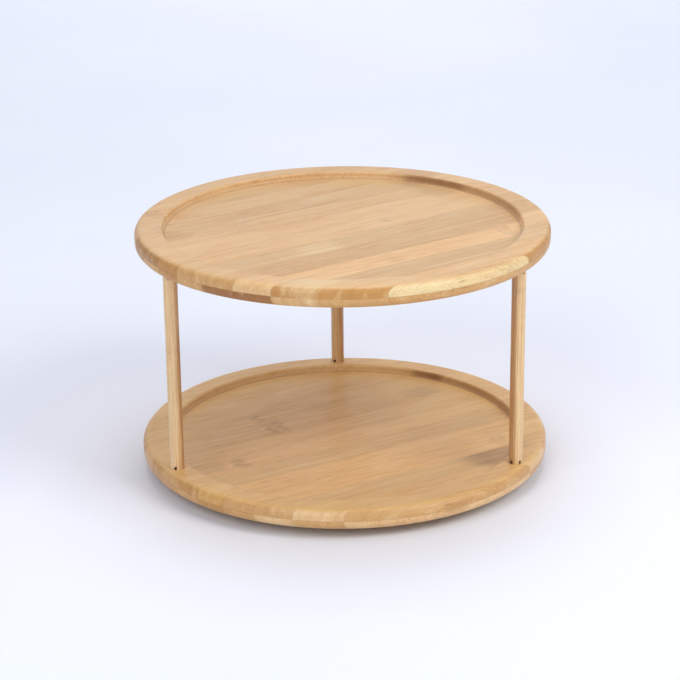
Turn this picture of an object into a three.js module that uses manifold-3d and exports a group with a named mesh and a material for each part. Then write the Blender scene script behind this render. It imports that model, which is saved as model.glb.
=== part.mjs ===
// Two-tier round bamboo lazy susan on a low steel ball bearing.
// Millimetres, +Z up. The origin is on the turning axis, on the table that the rubber feet stand on.

import * as THREE from 'three';
import { mergeVertices } from 'three/addons/utils/BufferGeometryUtils.js';
import Module from 'manifold-3d';

const wasm = await Module();
wasm.setup();

// ---------------------------------------------------------------- driving dimensions

// Boards: two equal discs, each milled with a shallow round recess that leaves a flat rim.
const TRAY_RADIUS = 150;
const TRAY_THICKNESS = 15;
const TRAY_TOP_ROUND = 5;
const TRAY_BOTTOM_ROUND = 5.5;
const RECESS_RADIUS = 130;
const RECESS_DEPTH = 5.5;
const RECESS_LIP_ROUND = 2;
const RECESS_FOOT_ROUND = 2.5;
const TABLE_TO_LOWER_TRAY = 8;
const TIER_PITCH = 161;

// Posts: three straight dowels glued into blind sockets in the middle of both rims.
const POST_RADIUS = 5;
const POST_CHAMFER = 0.5;
const POST_CIRCLE_RADIUS = (TRAY_RADIUS + RECESS_RADIUS) / 2;
const SOCKET_DEPTH = 6;
const SOCKET_PLAY = 0.15;

// Brads: two driven slantwise through each end of each post into the board.
const BRAD_LENGTH = 14;
const BRAD_RADIUS = 0.6;
const BRAD_HEAD_RADIUS = 0.85;
const BRAD_HEAD_HEIGHT = 0.6;
const BRAD_PLAY = 0.25;
const BRAD_TILT = 35;
const BRAD_SKEW = 16;
const BRAD_RISE = 1.4;
const BRAD_HEAD_SINK = 0.2;

// Bearing: two stamped steel plates with a ring of caged balls between them.
const SHEET = 1;
const BALL_RADIUS = 2;
const BALL_COUNT = 16;
const BALL_PLAY = 0.05;
const RACE_RADIUS = 72;
const GROOVE_FLOOR_HALF = 0.8;
const GROOVE_MOUTH_HALF = 2.2;
const GROOVE_DEPTH = 0.75;
const LOWER_PLATE_Z = 2.7;
const LOWER_PLATE_RADIUS = 95;
const LOWER_LIP_HEIGHT = 2.3;
const UPPER_PLATE_RADIUS = 82;
const UPPER_RACE_DROP = 0.7;
const UPPER_HUB_DROP = 1.5;
const UPPER_PAD_INNER = 24;
const UPPER_PAD_OUTER = 58;
const STEP_RUN = 3;
const CAGE_HALF_WIDTH = 5;
const CAGE_THICKNESS = 0.8;
const CAGE_POCKET_PLAY = 0.25;

// Centre eyelet: a hollow rivet that holds the two plates together, with a nylon washer between them.
const EYELET_RADIUS = 5;
const EYELET_BORE_RADIUS = 4;
const EYELET_PLAY = 0.3;
const EYELET_FLANGE_RADIUS = 8.5;
const EYELET_FLANGE_HEIGHT = 0.8;
const WASHER_RADIUS = 12;

// Screws that hold the upper plate to the lower tray, driven through one access hole in the lower plate.
const SCREW_COUNT = 4;
const SCREW_CIRCLE_RADIUS = 42;
const SCREW_LENGTH = 8.5;
const SCREW_SHANK_RADIUS = 1.7;
const SCREW_TIP_LENGTH = 3;
const SCREW_HEAD_RADIUS = 3.4;
const SCREW_HEAD_HEIGHT = 1.8;
const SCREW_CROSS_WIDTH = 0.9;
const SCREW_CROSS_LENGTH = 3.6;
const SCREW_CROSS_DEPTH = 1;
const SCREW_PLAY = 0.3;
const ACCESS_HOLE_RADIUS = 5.5;
const ACCESS_HOLE_AZIMUTH = 45;

// Rubber feet pushed through holes in the lower plate.
const FOOT_COUNT = 6;
const FOOT_CIRCLE_RADIUS = 86;
const FOOT_RADIUS = 7;
const FOOT_TOE_RADIUS = 6;
const FOOT_STEM_RADIUS = 2.4;
const FOOT_STEM_PLAY = 0.3;
const FOOT_BARB_RADIUS = 3.4;
const FOOT_BARB_TIP_RADIUS = 1.8;
const FOOT_BARB_HEIGHT = 1.7;

// Facets round a full turn.
const TRAY_SIDES = 72;
const PLATE_SIDES = 48;
const POST_SIDES = 24;
const SMALL_SIDES = 16;
const TINY_SIDES = 10;
const ROUND_STEPS = 4;
const SMALL_ROUND_STEPS = 2;

// ---------------------------------------------------------------- derived places

const LOWER_TRAY_Z = TABLE_TO_LOWER_TRAY;
const UPPER_TRAY_Z = LOWER_TRAY_Z + TIER_PITCH;
const LOWER_RIM_Z = LOWER_TRAY_Z + TRAY_THICKNESS;
const POST_BOTTOM_Z = LOWER_RIM_Z - SOCKET_DEPTH;
const POST_LENGTH = UPPER_TRAY_Z + SOCKET_DEPTH - POST_BOTTOM_Z;

const LOWER_FLAT_TOP_Z = LOWER_PLATE_Z + SHEET;
const BALL_Z = LOWER_FLAT_TOP_Z - GROOVE_DEPTH + BALL_PLAY + BALL_RADIUS;
const UPPER_PAD_Z = LOWER_TRAY_Z - SHEET;
const UPPER_RACE_Z = UPPER_PAD_Z - UPPER_RACE_DROP;
const UPPER_HUB_Z = UPPER_PAD_Z - UPPER_HUB_DROP;

// Each post: the azimuth of its centre, and where round the post its two brads enter, in degrees.
const POSTS = [
  { name: 'left', azimuth: -149, brads: [-100, 92] },
  { name: 'right', azimuth: -29, brads: [-132, -55] },
  { name: 'back', azimuth: 92, brads: [-121, 48] },
];

const BAMBOO = { color: 0xd9b27c, roughness: 0.45, metalness: 0 };
const PALE_BAMBOO = { color: 0xe0bd88, roughness: 0.5, metalness: 0 };
const ZINC_STEEL = { color: 0xb9bcc0, roughness: 0.35, metalness: 0.9 };
const BRIGHT_STEEL = { color: 0xd5d8dc, roughness: 0.15, metalness: 1 };
const DARK_STEEL = { color: 0x4c4238, roughness: 0.5, metalness: 0.8 };
const NYLON = { color: 0xe9e6dc, roughness: 0.5, metalness: 0 };
const RUBBER = { color: 0x2b2b2d, roughness: 0.85, metalness: 0 };

// ---------------------------------------------------------------- shape helpers

const radians = THREE.MathUtils.degToRad;

function point(r, z) {
  return new THREE.Vector2(r, z);
}

// Points on a quarter round about (r, z), from one angle to another in degrees.
function quarterRound(r, z, radius, from, to, steps) {
  const points = [];
  for (let i = 0; i <= steps; i += 1) {
    const angle = radians(from + ((to - from) * i) / steps);
    points.push(point(r + radius * Math.cos(angle), z + radius * Math.sin(angle)));
  }
  return points;
}

// Shared corners become one, and triangles that collapse on the axis go.
function welded(geometry) {
  const bare = geometry.clone();
  bare.deleteAttribute('normal');
  bare.deleteAttribute('uv');
  const merged = mergeVertices(bare, 1e-4);
  const index = merged.getIndex().array;
  const kept = [];
  for (let i = 0; i < index.length; i += 3) {
    const [a, b, c] = [index[i], index[i + 1], index[i + 2]];
    if (a !== b && b !== c && c !== a) kept.push(a, b, c);
  }
  merged.setIndex(kept);
  return merged;
}

// A profile in the (radius, height) plane, anticlockwise, turned once about +Z.
function revolve(profile, sides) {
  const geometry = new THREE.LatheGeometry(profile, sides);
  geometry.rotateX(Math.PI / 2);
  return welded(geometry);
}

function rod(radius, from, to, sides) {
  return revolve([point(0, from), point(radius, from), point(radius, to), point(0, to)], sides);
}

function manifoldOf(geometry) {
  const mesh = new wasm.Mesh({
    numProp: 3,
    vertProperties: new Float32Array(geometry.getAttribute('position').array),
    triVerts: new Uint32Array(geometry.getIndex().array),
  });
  return new wasm.Manifold(mesh);
}

// The geometry with every cutter taken away.
function cut(geometry, cutters) {
  let solid = manifoldOf(geometry);
  for (const cutter of cutters) solid = solid.subtract(manifoldOf(cutter));
  const mesh = solid.getMesh();
  const result = new THREE.BufferGeometry();
  result.setAttribute('position', new THREE.BufferAttribute(mesh.vertProperties, 3));
  result.setIndex(new THREE.BufferAttribute(mesh.triVerts, 1));
  return result;
}

function onCircle(radius, azimuth, z = 0) {
  return new THREE.Vector3(
    radius * Math.cos(radians(azimuth)),
    radius * Math.sin(radians(azimuth)),
    z,
  );
}

// A copy of a geometry set down at one point of a circle.
function atCircle(geometry, radius, azimuth, z = 0) {
  const place = onCircle(radius, azimuth, z);
  return geometry.clone().translate(place.x, place.y, place.z);
}

function evenAzimuths(count) {
  return Array.from({ length: count }, (_, i) => (360 * i) / count);
}

function part(name, geometry, look) {
  const shown = geometry.toNonIndexed();
  shown.computeVertexNormals();
  const mesh = new THREE.Mesh(shown, new THREE.MeshStandardMaterial(look));
  mesh.name = name;
  return mesh;
}

// ---------------------------------------------------------------- brads

function bradGeometry(shankRadius, headRadius, headHeight, above = 0) {
  const profile = [
    point(0, -BRAD_LENGTH),
    point(shankRadius, -BRAD_LENGTH + 2 * shankRadius),
    point(shankRadius, -headHeight),
    point(headRadius, -headHeight),
    point(headRadius, above),
    point(0, above),
  ];
  return revolve(profile, TINY_SIDES);
}

// Where a brad stands in its post's own frame. end is -1 at the lower board and 1 at the upper.
function bradMatrix(azimuth, end) {
  const rimLevel = end < 0 ? SOCKET_DEPTH : POST_LENGTH - SOCKET_DEPTH;
  const head = onCircle(POST_RADIUS - BRAD_HEAD_SINK, azimuth, rimLevel - end * BRAD_RISE);
  const inward = onCircle(1, azimuth + 180 + BRAD_SKEW);
  const along = inward.multiplyScalar(Math.sin(radians(BRAD_TILT)));
  along.z = end * Math.cos(radians(BRAD_TILT));
  const turn = new THREE.Quaternion().setFromUnitVectors(new THREE.Vector3(0, 0, -1), along);
  return new THREE.Matrix4().compose(head, turn, new THREE.Vector3(1, 1, 1));
}

function bradMatrices(post, end) {
  return post.brads.map((azimuth) => bradMatrix(azimuth, end));
}

// The channels that the brads of one post run in, in the post's own frame.
function bradChannels(post, end) {
  const channel = bradGeometry(
    BRAD_RADIUS + BRAD_PLAY,
    BRAD_HEAD_RADIUS + BRAD_PLAY,
    BRAD_HEAD_HEIGHT + BRAD_PLAY,
    2 * BRAD_HEAD_RADIUS,
  );
  channel.translate(0, 0, -BRAD_PLAY);
  return bradMatrices(post, end).map((matrix) => channel.clone().applyMatrix4(matrix));
}

// ---------------------------------------------------------------- boards and posts

function trayProfile() {
  const floor = TRAY_THICKNESS - RECESS_DEPTH;
  const bottom = TRAY_BOTTOM_ROUND;
  const top = TRAY_TOP_ROUND;
  const lip = RECESS_LIP_ROUND;
  const foot = RECESS_FOOT_ROUND;
  return [
    point(0, 0),
    ...quarterRound(TRAY_RADIUS - bottom, bottom, bottom, -90, 0, ROUND_STEPS),
    ...quarterRound(TRAY_RADIUS - top, TRAY_THICKNESS - top, top, 0, 90, ROUND_STEPS),
    ...quarterRound(RECESS_RADIUS + lip, TRAY_THICKNESS - lip, lip, 90, 180, SMALL_ROUND_STEPS),
    ...quarterRound(RECESS_RADIUS - foot, floor + foot, foot, 0, -90, SMALL_ROUND_STEPS),
    point(0, floor),
  ];
}

// The socket and the brad channels of every post, moved into a tray's frame.
function postCutters(trayZ, end) {
  const socket = rod(POST_RADIUS + SOCKET_PLAY, -SOCKET_PLAY, POST_LENGTH + SOCKET_PLAY, POST_SIDES);
  const rise = POST_BOTTOM_Z - trayZ;
  return POSTS.flatMap((post) => [
    atCircle(socket, POST_CIRCLE_RADIUS, post.azimuth, rise),
    ...bradChannels(post, end).map((channel) =>
      atCircle(channel, POST_CIRCLE_RADIUS, post.azimuth, rise),
    ),
  ]);
}

function lowerTray() {
  const pilot = rod(
    SCREW_SHANK_RADIUS + SCREW_PLAY,
    -SCREW_LENGTH,
    SCREW_LENGTH - SHEET + SCREW_PLAY,
    SMALL_SIDES,
  );
  const pilots = evenAzimuths(SCREW_COUNT).map((azimuth) =>
    atCircle(pilot, SCREW_CIRCLE_RADIUS, azimuth),
  );
  const cutters = [...postCutters(LOWER_TRAY_Z, -1), ...pilots];
  const mesh = part('lower_tray', cut(revolve(trayProfile(), TRAY_SIDES), cutters), BAMBOO);
  mesh.position.z = LOWER_TRAY_Z;
  return mesh;
}

function upperTray() {
  const cutters = postCutters(UPPER_TRAY_Z, 1);
  const mesh = part('upper_tray', cut(revolve(trayProfile(), TRAY_SIDES), cutters), BAMBOO);
  mesh.position.z = UPPER_TRAY_Z;
  return mesh;
}

// One post with its four brads, as a group whose origin is at the middle of the post's lower end.
function postGroup(post) {
  const group = new THREE.Group();
  const place = onCircle(POST_CIRCLE_RADIUS, post.azimuth, POST_BOTTOM_Z);
  group.position.copy(place);

  const inner = POST_RADIUS - POST_CHAMFER;
  const profile = [
    point(0, 0),
    point(inner, 0),
    point(POST_RADIUS, POST_CHAMFER),
    point(POST_RADIUS, POST_LENGTH - POST_CHAMFER),
    point(inner, POST_LENGTH),
    point(0, POST_LENGTH),
  ];
  const channels = [...bradChannels(post, -1), ...bradChannels(post, 1)];
  const dowel = cut(revolve(profile, POST_SIDES), channels);
  group.add(part(`${post.name}_post`, dowel, PALE_BAMBOO));

  const brad = bradGeometry(BRAD_RADIUS, BRAD_HEAD_RADIUS, BRAD_HEAD_HEIGHT);
  for (const [endName, end] of [['lower', -1], ['upper', 1]]) {
    bradMatrices(post, end).forEach((matrix, i) => {
      const mesh = part(`${post.name}_${endName}_brad_${i + 1}`, brad, DARK_STEEL);
      mesh.applyMatrix4(matrix);
      group.add(mesh);
    });
  }
  return group;
}

// ---------------------------------------------------------------- bearing

// One side of the pressed ball groove: a shallow trough across the race circle. side is 1 where
// radius grows along the profile and -1 where it shrinks. spread widens the trough's outside.
function grooveTrough(z, depth, side, spread) {
  const mouth = GROOVE_MOUTH_HALF + spread;
  const floor = GROOVE_FLOOR_HALF + spread;
  return [
    point(RACE_RADIUS - side * mouth, z),
    point(RACE_RADIUS - side * floor, z + depth),
    point(RACE_RADIUS + side * floor, z + depth),
    point(RACE_RADIUS + side * mouth, z),
  ];
}

// Dished plate that stands on the feet: hub hole, flat web, ball groove and a turned-up edge.
function lowerRacePlate() {
  const hole = EYELET_RADIUS + EYELET_PLAY;
  const spread = SHEET / 2;
  const profile = [
    point(hole, LOWER_PLATE_Z),
    ...grooveTrough(LOWER_PLATE_Z, -GROOVE_DEPTH, 1, spread),
    point(LOWER_PLATE_RADIUS - SHEET / 2, LOWER_PLATE_Z),
    point(LOWER_PLATE_RADIUS, LOWER_PLATE_Z + SHEET / 2),
    point(LOWER_PLATE_RADIUS, LOWER_PLATE_Z + LOWER_LIP_HEIGHT),
    point(LOWER_PLATE_RADIUS - SHEET, LOWER_PLATE_Z + LOWER_LIP_HEIGHT),
    point(LOWER_PLATE_RADIUS - SHEET, LOWER_FLAT_TOP_Z),
    ...grooveTrough(LOWER_FLAT_TOP_Z, -GROOVE_DEPTH, -1, 0),
    point(hole, LOWER_FLAT_TOP_Z),
    point(hole, LOWER_PLATE_Z),
  ];
  const reach = TABLE_TO_LOWER_TRAY;
  const footHole = rod(FOOT_STEM_RADIUS + FOOT_STEM_PLAY, 0, reach, SMALL_SIDES);
  const accessHole = rod(ACCESS_HOLE_RADIUS, 0, reach, POST_SIDES);
  const cutters = evenAzimuths(FOOT_COUNT).map((azimuth) =>
    atCircle(footHole, FOOT_CIRCLE_RADIUS, azimuth),
  );
  cutters.push(atCircle(accessHole, SCREW_CIRCLE_RADIUS, ACCESS_HOLE_AZIMUTH));
  return part('lower_race_plate', cut(revolve(profile, PLATE_SIDES), cutters), ZINC_STEEL);
}

// Plate screwed under the tray: its pad lies on the wood, its hub and its race step down from it.
function upperRacePlate() {
  const hole = EYELET_RADIUS + EYELET_PLAY;
  const spread = SHEET / 2;
  const hubEdge = UPPER_PAD_INNER - STEP_RUN;
  const raceEdge = UPPER_PAD_OUTER + STEP_RUN;
  const profile = [
    point(hole, UPPER_HUB_Z),
    point(hubEdge, UPPER_HUB_Z),
    point(UPPER_PAD_INNER, UPPER_PAD_Z),
    point(UPPER_PAD_OUTER, UPPER_PAD_Z),
    point(raceEdge, UPPER_RACE_Z),
    ...grooveTrough(UPPER_RACE_Z, GROOVE_DEPTH, 1, 0),
    point(UPPER_PLATE_RADIUS, UPPER_RACE_Z),
    point(UPPER_PLATE_RADIUS, UPPER_RACE_Z + SHEET),
    ...grooveTrough(UPPER_RACE_Z + SHEET, UPPER_RACE_DROP, -1, spread),
    point(raceEdge, UPPER_RACE_Z + SHEET),
    point(UPPER_PAD_OUTER, UPPER_PAD_Z + SHEET),
    point(UPPER_PAD_INNER, UPPER_PAD_Z + SHEET),
    point(hubEdge, UPPER_HUB_Z + SHEET),
    point(hole, UPPER_HUB_Z + SHEET),
    point(hole, UPPER_HUB_Z),
  ];
  const screwHole = rod(SCREW_SHANK_RADIUS + SCREW_PLAY, 0, 2 * UPPER_PAD_Z, SMALL_SIDES);
  const cutters = evenAzimuths(SCREW_COUNT).map((azimuth) =>
    atCircle(screwHole, SCREW_CIRCLE_RADIUS, azimuth),
  );
  return part('upper_race_plate', cut(revolve(profile, PLATE_SIDES), cutters), ZINC_STEEL);
}

// Flat nylon ring that keeps the balls evenly apart.
function ballCage() {
  const half = CAGE_THICKNESS / 2;
  const inner = RACE_RADIUS - CAGE_HALF_WIDTH;
  const outer = RACE_RADIUS + CAGE_HALF_WIDTH;
  const ring = revolve(
    [point(inner, -half), point(outer, -half), point(outer, half), point(inner, half), point(inner, -half)],
    PLATE_SIDES,
  );
  const pocket = rod(BALL_RADIUS + CAGE_POCKET_PLAY, -CAGE_THICKNESS, CAGE_THICKNESS, SMALL_SIDES);
  const pockets = evenAzimuths(BALL_COUNT).map((azimuth) => atCircle(pocket, RACE_RADIUS, azimuth));
  const mesh = part('ball_cage', cut(ring, pockets), NYLON);
  mesh.position.z = BALL_Z;
  return mesh;
}

function balls() {
  const sphere = welded(new THREE.IcosahedronGeometry(BALL_RADIUS, 1));
  return evenAzimuths(BALL_COUNT).map((azimuth, i) => {
    const mesh = part(`ball_${String(i + 1).padStart(2, '0')}`, sphere, BRIGHT_STEEL);
    mesh.position.copy(onCircle(RACE_RADIUS, azimuth, BALL_Z));
    return mesh;
  });
}

// Hollow rivet: its lower flange lies under the lower plate, its upper flange holds the upper plate down.
function eyelet() {
  const lowerFlangeZ = LOWER_PLATE_Z - EYELET_FLANGE_HEIGHT;
  const upperFlangeZ = UPPER_HUB_Z + SHEET + BALL_PLAY;
  const topZ = upperFlangeZ + EYELET_FLANGE_HEIGHT;
  const profile = [
    point(EYELET_BORE_RADIUS, lowerFlangeZ),
    point(EYELET_FLANGE_RADIUS, lowerFlangeZ),
    point(EYELET_FLANGE_RADIUS, LOWER_PLATE_Z),
    point(EYELET_RADIUS, LOWER_PLATE_Z),
    point(EYELET_RADIUS, upperFlangeZ),
    point(EYELET_FLANGE_RADIUS, upperFlangeZ),
    point(EYELET_FLANGE_RADIUS, topZ),
    point(EYELET_BORE_RADIUS, topZ),
    point(EYELET_BORE_RADIUS, lowerFlangeZ),
  ];
  return part('centre_eyelet', revolve(profile, POST_SIDES), ZINC_STEEL);
}

function hubWasher() {
  const from = LOWER_FLAT_TOP_Z;
  const to = UPPER_HUB_Z - BALL_PLAY;
  const hole = EYELET_RADIUS + EYELET_PLAY;
  const profile = [
    point(hole, from),
    point(WASHER_RADIUS, from),
    point(WASHER_RADIUS, to),
    point(hole, to),
    point(hole, from),
  ];
  return part('hub_washer', revolve(profile, POST_SIDES), NYLON);
}

// Pan-head wood screw, head down, with its origin where the head meets the plate.
function screwGeometry() {
  const head = SCREW_HEAD_RADIUS;
  const profile = [
    point(0, -SCREW_HEAD_HEIGHT),
    point(head * 0.6, -SCREW_HEAD_HEIGHT),
    point(head * 0.92, -SCREW_HEAD_HEIGHT * 0.7),
    point(head, -SCREW_HEAD_HEIGHT * 0.3),
    point(head, 0),
    point(SCREW_SHANK_RADIUS, 0),
    point(SCREW_SHANK_RADIUS, SCREW_LENGTH - SCREW_TIP_LENGTH),
    point(0, SCREW_LENGTH),
  ];
  const slot = [SCREW_CROSS_LENGTH, SCREW_CROSS_WIDTH, 2 * SCREW_CROSS_DEPTH];
  const along = welded(new THREE.BoxGeometry(...slot));
  const across = along.clone().rotateZ(Math.PI / 2);
  const recess = [along, across].map((bar) => bar.translate(0, 0, -SCREW_HEAD_HEIGHT));
  return cut(revolve(profile, SMALL_SIDES), recess);
}

function plateScrews() {
  const screw = screwGeometry();
  return evenAzimuths(SCREW_COUNT).map((azimuth, i) => {
    const mesh = part(`plate_screw_${i + 1}`, screw, ZINC_STEEL);
    mesh.position.copy(onCircle(SCREW_CIRCLE_RADIUS, azimuth, UPPER_PAD_Z));
    mesh.rotation.z = radians(azimuth);
    return mesh;
  });
}

function feet() {
  const profile = [
    point(0, 0),
    point(FOOT_TOE_RADIUS, 0),
    point(FOOT_RADIUS, LOWER_PLATE_Z / 3),
    point(FOOT_RADIUS, LOWER_PLATE_Z),
    point(FOOT_STEM_RADIUS, LOWER_PLATE_Z),
    point(FOOT_STEM_RADIUS, LOWER_FLAT_TOP_Z),
    point(FOOT_BARB_RADIUS, LOWER_FLAT_TOP_Z),
    point(FOOT_BARB_TIP_RADIUS, LOWER_FLAT_TOP_Z + FOOT_BARB_HEIGHT),
    point(0, LOWER_FLAT_TOP_Z + FOOT_BARB_HEIGHT),
  ];
  const foot = revolve(profile, SMALL_SIDES);
  return evenAzimuths(FOOT_COUNT).map((azimuth, i) => {
    const mesh = part(`rubber_foot_${i + 1}`, foot, RUBBER);
    mesh.position.copy(onCircle(FOOT_CIRCLE_RADIUS, azimuth));
    return mesh;
  });
}

// ---------------------------------------------------------------- assembly

const turntable = new THREE.Group();
turntable.add(lowerTray(), upperTray(), ...POSTS.map(postGroup));
turntable.add(upperRacePlate(), ...plateScrews());

const bearing = new THREE.Group();
bearing.add(ballCage(), ...balls());

const base = new THREE.Group();
base.add(lowerRacePlate(), eyelet(), hubWasher(), ...feet());

const lazySusan = new THREE.Group();
lazySusan.add(turntable, bearing, base);

export default lazySusan;
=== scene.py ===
# Two-tier round bamboo lazy susan on a low steel ball bearing.
# Sizes in this script are in millimetres; every mesh is turned into metres as it is made.

import math

import bpy
from mathutils import Color, Matrix, Vector


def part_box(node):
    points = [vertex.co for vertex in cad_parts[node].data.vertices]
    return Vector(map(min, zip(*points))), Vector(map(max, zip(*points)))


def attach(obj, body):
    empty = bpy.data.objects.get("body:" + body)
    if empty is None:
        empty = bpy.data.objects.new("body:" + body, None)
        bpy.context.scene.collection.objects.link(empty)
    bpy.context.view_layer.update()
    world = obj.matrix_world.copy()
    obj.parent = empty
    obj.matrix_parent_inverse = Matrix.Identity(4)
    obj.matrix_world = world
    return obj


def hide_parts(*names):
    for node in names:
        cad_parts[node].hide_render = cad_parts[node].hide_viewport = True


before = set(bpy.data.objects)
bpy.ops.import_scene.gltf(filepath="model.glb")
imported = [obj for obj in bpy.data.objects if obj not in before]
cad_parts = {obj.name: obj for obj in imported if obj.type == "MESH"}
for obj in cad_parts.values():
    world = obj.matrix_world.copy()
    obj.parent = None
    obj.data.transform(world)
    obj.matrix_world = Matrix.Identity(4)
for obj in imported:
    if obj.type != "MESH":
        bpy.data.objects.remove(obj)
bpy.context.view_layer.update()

MM = 0.001
# A profile point nearer the axis than this lies on it.
ON_AXIS = 1e-6


def low(node):
    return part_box(node)[0] / MM


def high(node):
    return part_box(node)[1] / MM


def middle(node):
    return (low(node) + high(node)) / 2


# ---------------------------------------------------------------- driving dimensions

TRAY_RADIUS = high("lower_tray").x
TRAY_THICKNESS = high("lower_tray").z - low("lower_tray").z
TRAY_TOP_ROUND = 5
TRAY_BOTTOM_ROUND = 5.5
RECESS_RADIUS = 130
RECESS_DEPTH = 5.5
RECESS_LIP_ROUND = 2
RECESS_FOOT_ROUND = 2.5
# Rings that divide a board's flat faces, so that the mesh has no long slivers there.
FLAT_RINGS = (40, 90)
LOWER_TRAY_Z = low("lower_tray").z

POST_RADIUS = 5
POST_CHAMFER = 0.5
POST_BOTTOM_Z = low("left_post").z
POST_TOP_Z = high("left_post").z
SOCKET_DEPTH = LOWER_TRAY_Z + TRAY_THICKNESS - POST_BOTTOM_Z
SOCKET_PLAY = 0.15

BRAD_LENGTH = 14
BRAD_RADIUS = 0.6
BRAD_HEAD_RADIUS = 0.85
BRAD_HEAD_HEIGHT = 0.6
BRAD_PLAY = 0.25
BRAD_TILT = 35
BRAD_SKEW = 16
BRAD_RISE = 1.4
BRAD_HEAD_SINK = 0.2
BRAD_DIMPLE_RADIUS = 0.35
BRAD_DIMPLE_FLOOR_RADIUS = 0.2
BRAD_DIMPLE_DEPTH = 0.12

SHEET = 1
BALL_RADIUS = 2
BALL_TRACK_HALF = 0.35
BALL_COUNT = 16
RACE_RADIUS = 72
GROOVE_FLOOR_HALF = 0.8
GROOVE_MOUTH_HALF = 2.2
GROOVE_DEPTH = 0.75
UPPER_GROOVE_RISE = 0.7
FOOT_BARB_HEIGHT = 1.7
LOWER_PLATE_Z = high("rubber_foot_1").z - FOOT_BARB_HEIGHT - SHEET
LOWER_PLATE_RADIUS = high("lower_race_plate").x
LOWER_LIP_Z = high("lower_race_plate").z
UPPER_PLATE_RADIUS = high("upper_race_plate").x
UPPER_PAD_Z = high("upper_race_plate").z - SHEET
PAD_RISE = 0.7
UPPER_RACE_Z = UPPER_PAD_Z - PAD_RISE
UPPER_HUB_Z = low("upper_race_plate").z
HUB_EDGE = 21
PAD_INNER = 24
PAD_OUTER = 58
RACE_EDGE = 61
CAGE_HALF_WIDTH = 5
CAGE_POCKET_PLAY = 0.25

EYELET_RADIUS = 5
EYELET_BORE_RADIUS = 4
EYELET_PLAY = 0.3
EYELET_FLANGE_RADIUS = high("centre_eyelet").x
EYELET_FLANGE_HEIGHT = 0.8
WASHER_RADIUS = high("hub_washer").x

SCREW_COUNT = 4
SCREW_CIRCLE_RADIUS = middle("plate_screw_1").x
SCREW_LENGTH = 8.5
SCREW_SHANK_RADIUS = 1.7
SCREW_TIP_LENGTH = 3
SCREW_THREAD_PITCH = 1.5
SCREW_THREAD_START = 0.6
SCREW_CREST_SHARE = 0.3
SCREW_CORE_SHARE = 0.68
SCREW_HEAD_RADIUS = 3.4
SCREW_HEAD_HEIGHT = 1.8
SCREW_PLAY = 0.3
ACCESS_HOLE_RADIUS = 5.5
ACCESS_HOLE_AZIMUTH = 45

FOOT_COUNT = 6
FOOT_CIRCLE_RADIUS = 86
FOOT_RADIUS = 7
FOOT_TOE_RADIUS = 6
FOOT_STEM_RADIUS = 2.4
FOOT_STEM_PLAY = 0.3
FOOT_BARB_RADIUS = 3.4
FOOT_BARB_TIP_RADIUS = 1.8
FOOT_DISH_RADIUS = 2
FOOT_DISH_DEPTH = 0.5
FOOT_GROOVE_INNER = 3.9
FOOT_GROOVE_OUTER = 4.8
FOOT_GROOVE_DEPTH = 0.35
FOOT_GROOVE_SLOPE = 0.2

# SIDES are steps round a full turn, ROWS and RINGS steps along a piece, and ARC_STEPS those of a rounded
# corner.
TRAY_SIDES = 240
PLATE_SIDES = 144
POST_SIDES = 48
HUB_SIDES = 64
FOOT_SIDES = 48
BALL_SIDES = 36
BALL_ROWS = 28
SCREW_SIDES = 36
SCREW_ROWS = 56
SMALL_SIDES = 32
BRAD_SIDES = 24
BRAD_CHANNEL_SIDES = 20
PILOT_SIDES = 16
POST_RINGS = 20
ARC_STEPS = 6
# The straight lead beside a rounded corner, as a share of its radius.
LEAD_SHARE = 0.15
# Faces that meet at less than this are shaded as one smooth surface.
SMOOTH_ANGLE = math.radians(32)

# Each post: where round it its two brads enter, and where its flank of painted shade faces, in degrees.
POSTS = {
    "left": {"brads": (-100, 92), "painted_shade_flank": 10},
    "right": {"brads": (-132, -55), "painted_shade_flank": -165},
    "back": {"brads": (-121, 48), "painted_shade_flank": -15},
}

# Boards are pressed from strips in two layers that meet a little below half height.
STRIP_COUNT = 14
LAYER_HEIGHT = 7.2
# The corner at the foot of the recess wall is darkened: painted shade, with some finish gathered there.
CORNER_RADIUS = RECESS_RADIUS - RECESS_FOOT_ROUND / 2

# ---------------------------------------------------------------- mesh helpers


def on_circle(radius, azimuth, z=0.0):
    angle = math.radians(azimuth)
    return Vector((radius * math.cos(angle), radius * math.sin(angle), z))


def even_azimuths(count):
    return [360 * i / count for i in range(count)]


def rounded_corner(before, here, after, radius):
    """The points of an arc that takes the place of one corner, with a short straight lead at each end."""
    backward = (before - here).normalized()
    onward = (after - here).normalized()
    half = backward.angle(onward) / 2
    reach = radius / math.tan(half)
    lead = LEAD_SHARE * radius
    centre = here + (backward + onward).normalized() * radius / math.sin(half)
    start = here + backward * reach - centre
    end = here + onward * reach - centre
    first = math.atan2(start.y, start.x)
    turn = (math.atan2(end.y, end.x) - first + math.pi) % (2 * math.pi) - math.pi
    points = [here + backward * (reach + lead)]
    for step in range(ARC_STEPS + 1):
        angle = first + turn * step / ARC_STEPS
        points.append(centre + radius * Vector((math.cos(angle), math.sin(angle))))
    points.append(here + onward * (reach + lead))
    return points


def outline(corners):
    """A profile from corners (radius, height) or (radius, height, rounding)."""
    points = []
    for i, corner in enumerate(corners):
        here = Vector(corner[:2])
        rounding = corner[2] if len(corner) > 2 else 0
        if rounding:
            before = Vector(corners[i - 1][:2])
            after = Vector(corners[(i + 1) % len(corners)][:2])
            points += rounded_corner(before, here, after, rounding)
        else:
            points.append(here)
    return points


def piece_from(name, vertices, faces):
    mesh = bpy.data.meshes.new(name)
    mesh.from_pydata([Vector(v) * MM for v in vertices], [], faces)
    mesh.validate()
    piece = bpy.data.objects.new(name, mesh)
    bpy.context.scene.collection.objects.link(piece)
    return piece


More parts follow.
